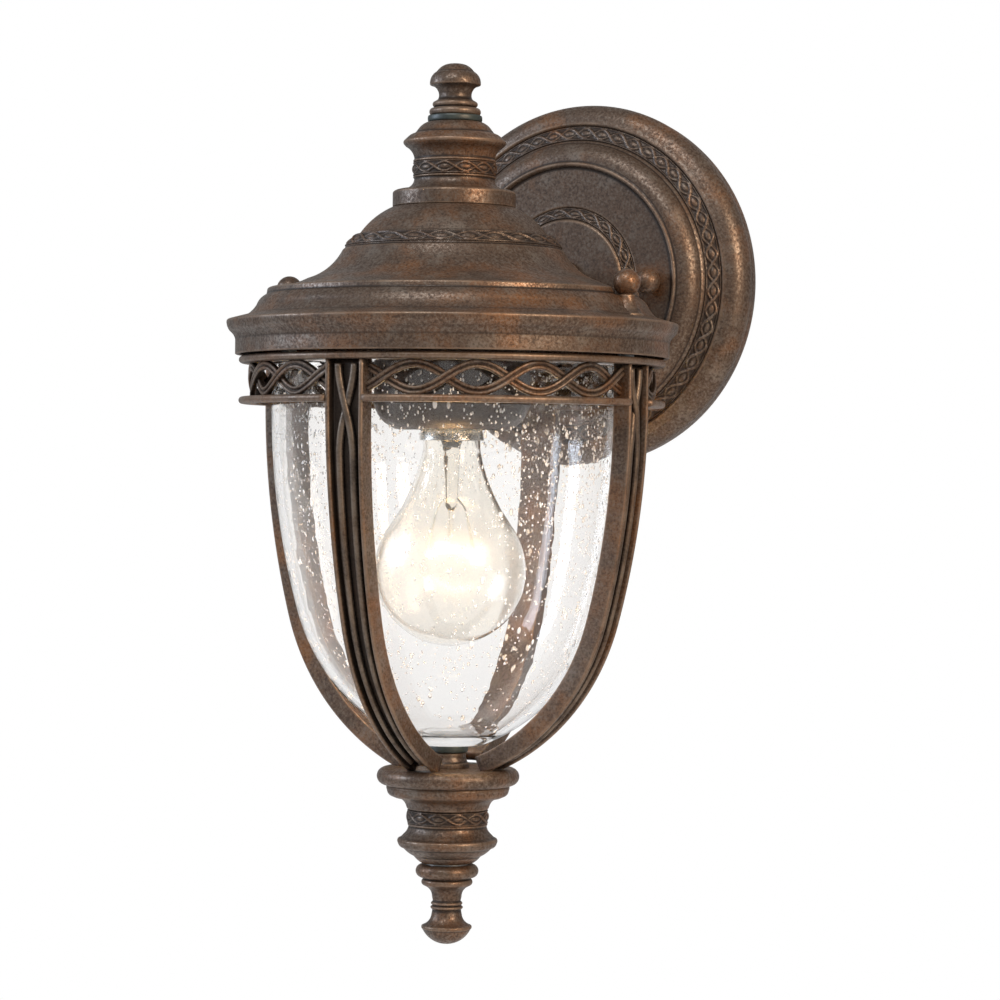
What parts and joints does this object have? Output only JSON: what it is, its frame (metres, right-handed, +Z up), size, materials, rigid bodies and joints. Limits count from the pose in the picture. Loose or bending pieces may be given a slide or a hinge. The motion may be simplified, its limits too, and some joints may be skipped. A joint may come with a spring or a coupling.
{
  "type": "outdoor wall lantern",
  "caption": "Bell-roofed cast lantern on a short arm from a round stepped wall plate, with a seeded glass bowl in ribs, fretwork, finials and a lamp that screws in.",
  "frame": {"origin": "on the wall, at the centre of the wall plate's back and of the strap's slots", "axes": "+Y into the wall, +X to the right for someone facing the wall, +Z up"},
  "size_m": [0.179, 0.2135, 0.349],
  "materials": {
    "bronze": "cast, hand-rubbed bronze lacquer",
    "foam": "closed-cell foam",
    "rubber": "moulded matt",
    "zinc": "zinc plated",
    "green_screw": "dyed",
    "white_plastic": "moulded",
    "porcelain": "glazed",
    "brass": "pressed",
    "black_sleeve": "extruded sleeve",
    "white_sleeve": "extruded sleeve",
    "seeded_glass": "clear with seeds",
    "lamp_glass": "lit, inside frosted",
    "lamp_cap": "rolled",
    "black_glass": "fused",
    "solder": "solder",
    "stem_glass": "clear",
    "nickel": "drawn",
    "filament": "glowing"
  },
  "bodies": {
    "lantern": {"wall_plate": "bronze", "wall_gasket": "foam", "crossbar": "zinc", "crossbar_studs": "zinc", "stud_locknuts": "zinc", "ground_screw": "green_screw", "terminal_block": "white_plastic", "arm_tube": "bronze", "arm_nipple": "zinc", "arm_locknuts": "zinc", "roof": "bronze", "crown": "bronze", "top_washer": "rubber", "centre_rod": "zinc", "centre_rod_nuts": "zinc", "holder_cup": "bronze", "holder_body": "porcelain", "holder_sleeve": "brass", "holder_contact": "brass", "wire_live": "black_sleeve", "wire_neutral": "white_sleeve"},
    "cage": {"upper_ring": "bronze", "lower_ring": "bronze", "fretwork_panels": "bronze", "rib_front": "bronze", "rib_back": "bronze", "rib_left": "bronze", "rib_right": "bronze", "rib_reeds": "bronze", "cage_studs": "zinc", "glass_bowl": "seeded_glass", "glass_cushion": "rubber", "glass_post": "bronze", "hub_disc": "bronze", "lower_cup": "bronze", "cage_rod": "zinc", "cage_rod_nut": "zinc", "lower_washer": "zinc"},
    "lamp": {"lamp_glass": "lamp_glass", "lamp_cap": "lamp_cap", "lamp_insulator": "black_glass", "lamp_tip": "solder", "lamp_stem": "stem_glass", "lamp_supports": "nickel", "lamp_filament": "filament"},
    "top_finial": {"top_finial": "bronze"},
    "lower_finial": {"lower_finial": "bronze"},
    "plate_ball_nut_left": {"plate_ball_nut_left": "bronze"},
    "plate_ball_nut_right": {"plate_ball_nut_right": "bronze"},
    "roof_ball_nut_left": {"roof_ball_nut_left": "bronze"},
    "roof_ball_nut_right": {"roof_ball_nut_right": "bronze"}
  },
  "joints": [
    {"name": "cage_lowers", "type": "slide", "parent": "lantern", "child": "cage", "axis": [0, 0, -1], "range_m": [0, 0.12]},
    {"name": "lamp_screws_out", "type": "slide", "parent": "lantern", "child": "lamp", "axis": [0, 0, -1], "range_m": [0, 0.026]},
    {"name": "top_finial_screws_off", "type": "slide", "parent": "lantern", "child": "top_finial", "axis": [0, 0, 1], "range_m": [0, 0.014]},
    {"name": "lower_finial_screws_off", "type": "slide", "parent": "cage", "child": "lower_finial", "axis": [0, 0, -1], "range_m": [0, 0.014]},
    {"name": "plate_nut_left_screws_off", "type": "slide", "parent": "lantern", "child": "plate_ball_nut_left", "axis": [0, -1, 0], "range_m": [0, 0.01]},
    {"name": "plate_nut_right_screws_off", "type": "slide", "parent": "lantern", "child": "plate_ball_nut_right", "axis": [0, -1, 0], "range_m": [0, 0.01]},
    {"name": "roof_nut_left_screws_off", "type": "slide", "parent": "lantern", "child": "roof_ball_nut_left", "axis": [0, 0, 1], "range_m": [0, 0.01]},
    {"name": "roof_nut_right_screws_off", "type": "slide", "parent": "lantern", "child": "roof_ball_nut_right", "axis": [0, 0, 1], "range_m": [0, 0.01]}
  ]
}
